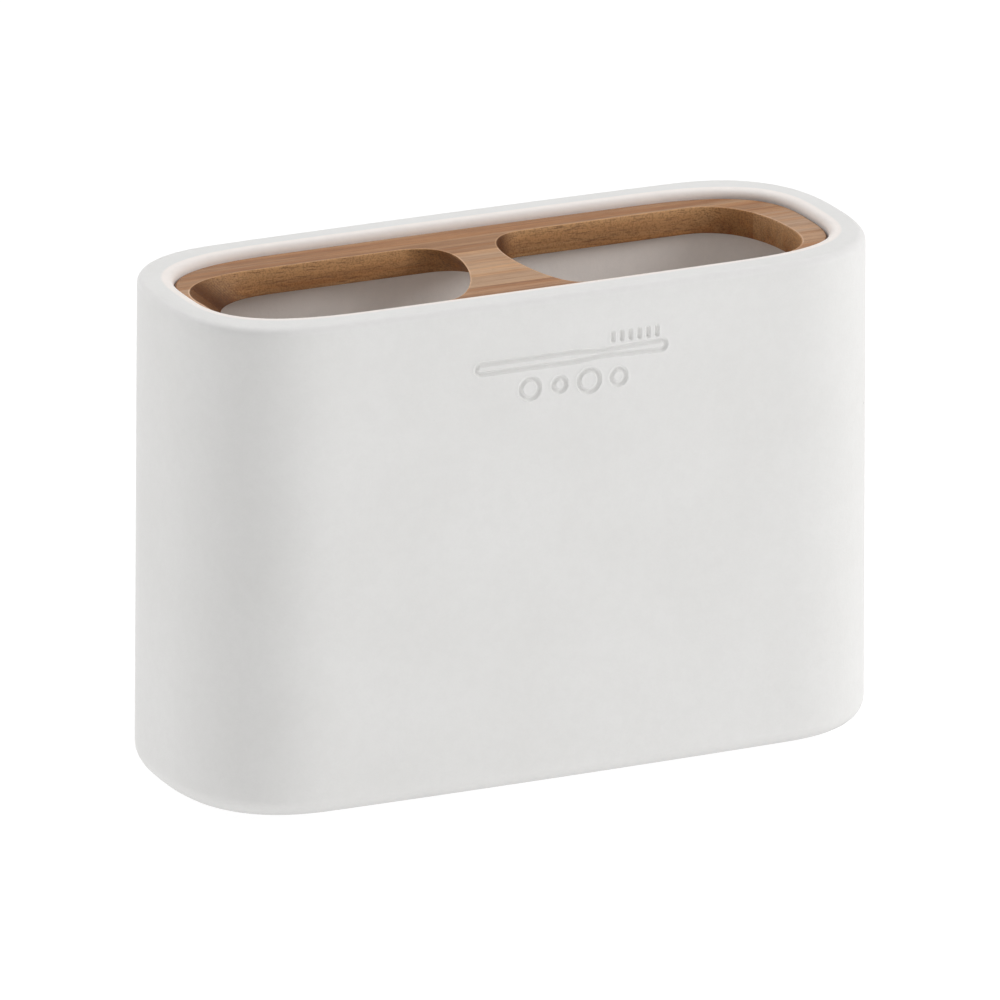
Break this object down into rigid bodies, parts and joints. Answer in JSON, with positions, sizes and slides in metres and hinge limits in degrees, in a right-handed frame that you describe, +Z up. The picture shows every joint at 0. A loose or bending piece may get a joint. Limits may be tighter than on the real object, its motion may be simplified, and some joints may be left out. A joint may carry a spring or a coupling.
{
  "type": "toothbrush holder",
  "caption": "Oblong cast resin toothbrush holder with a lift-out bamboo insert that has rounded openings.",
  "frame": {"origin": "middle of the base, on the surface the holder stands on (the underside of the pads)", "axes": "+Z up, +X along the long side, -Y the front with the engraved motif"},
  "size_m": [0.1406, 0.0574, 0.0953],
  "materials": {
    "resin": "matt cast mineral resin, off-white",
    "bamboo": "sanded carbonised bamboo, grain along X",
    "bamboo_light": "sanded lighter bamboo stave, grain along X",
    "pad": "matt foam pad"
  },
  "bodies": {
    "cup": {"cup_body": "resin", "pad_front_left": "pad", "pad_front_right": "pad", "pad_back_left": "pad", "pad_back_right": "pad"},
    "insert": {"insert_back_stave": "bamboo", "insert_front_stave": "bamboo", "insert_left_end": "bamboo", "insert_right_end": "bamboo", "insert_bridge": "bamboo_light"}
  },
  "joints": [
    {"name": "insert_lift", "type": "slide", "parent": "cup", "child": "insert", "axis": [0, 0, 1], "range_m": [0, 0.06]}
  ]
}
